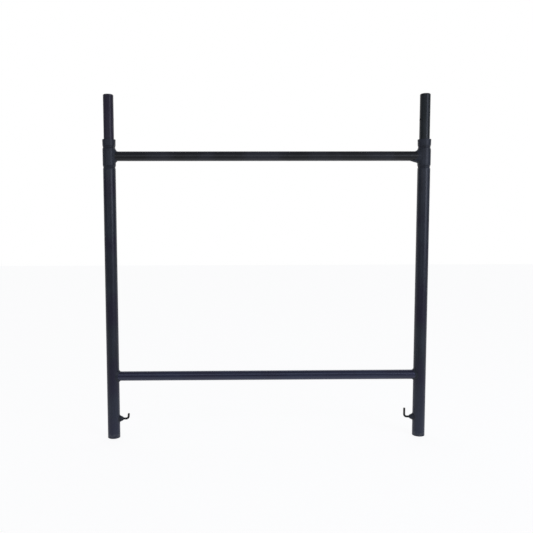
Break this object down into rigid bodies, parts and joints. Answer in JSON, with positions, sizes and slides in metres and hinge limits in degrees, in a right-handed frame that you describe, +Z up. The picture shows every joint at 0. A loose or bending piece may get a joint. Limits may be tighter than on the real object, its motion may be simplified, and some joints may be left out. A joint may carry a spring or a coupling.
{
  "type": "frame scaffold section",
  "caption": "Welded tube scaffold frame: two legs, two crossbars, crimped stacking spigots on top and spring lock pins with J-shaped pulls near the feet.",
  "frame": {"origin": "on the ground plane under the feet, midway between the two legs", "axes": "+Z up along the legs, +X from the left leg to the right leg, +Y to the back, through the panel's thickness"},
  "size_m": [1.085, 0.0436, 1.148],
  "materials": {
    "tube_paint": "semi-gloss navy-black enamel",
    "weld_paint": "semi-gloss navy-black enamel over weld ripples",
    "plain_steel": "bare zinc-plated steel",
    "spring_steel": "oiled spring steel"
  },
  "bodies": {
    "frame": {"upper_crossbar": "tube_paint", "lower_crossbar": "tube_paint", "left_leg": "tube_paint", "left_spigot": "tube_paint", "left_upper_weld": "weld_paint", "left_lower_weld": "weld_paint", "left_lock_cup": "tube_paint", "left_cup_weld": "weld_paint", "left_lock_spring": "spring_steel", "right_leg": "tube_paint", "right_spigot": "tube_paint", "right_upper_weld": "weld_paint", "right_lower_weld": "weld_paint", "right_lock_cup": "tube_paint", "right_cup_weld": "weld_paint", "right_lock_spring": "spring_steel"},
    "left_lock_slider": {"left_lock_washer": "plain_steel"},
    "left_lock_handle": {"left_lock_pin": "tube_paint", "left_cross_pin": "plain_steel"},
    "right_lock_slider": {"right_lock_washer": "plain_steel"},
    "right_lock_handle": {"right_lock_pin": "tube_paint", "right_cross_pin": "plain_steel"}
  },
  "joints": [
    {"name": "left_lock_slide", "type": "slide", "parent": "frame", "child": "left_lock_slider", "axis": [1, 0, 0], "range_m": [0, 0.0035], "stiffness_N_per_m": 1200, "springref_m": -0.006, "deforming": ["left_lock_spring"]},
    {"name": "left_handle_turn", "type": "hinge", "parent": "left_lock_slider", "child": "left_lock_handle", "pos_m": [-0.52065, 0, 0.064], "axis": [1, 0, 0], "continuous": true},
    {"name": "right_lock_slide", "type": "slide", "parent": "frame", "child": "right_lock_slider", "axis": [-1, 0, 0], "range_m": [0, 0.0035], "stiffness_N_per_m": 1200, "springref_m": -0.006, "deforming": ["right_lock_spring"]},
    {"name": "right_handle_turn", "type": "hinge", "parent": "right_lock_slider", "child": "right_lock_handle", "pos_m": [0.52065, 0, 0.064], "axis": [-1, 0, 0], "continuous": true}
  ]
}
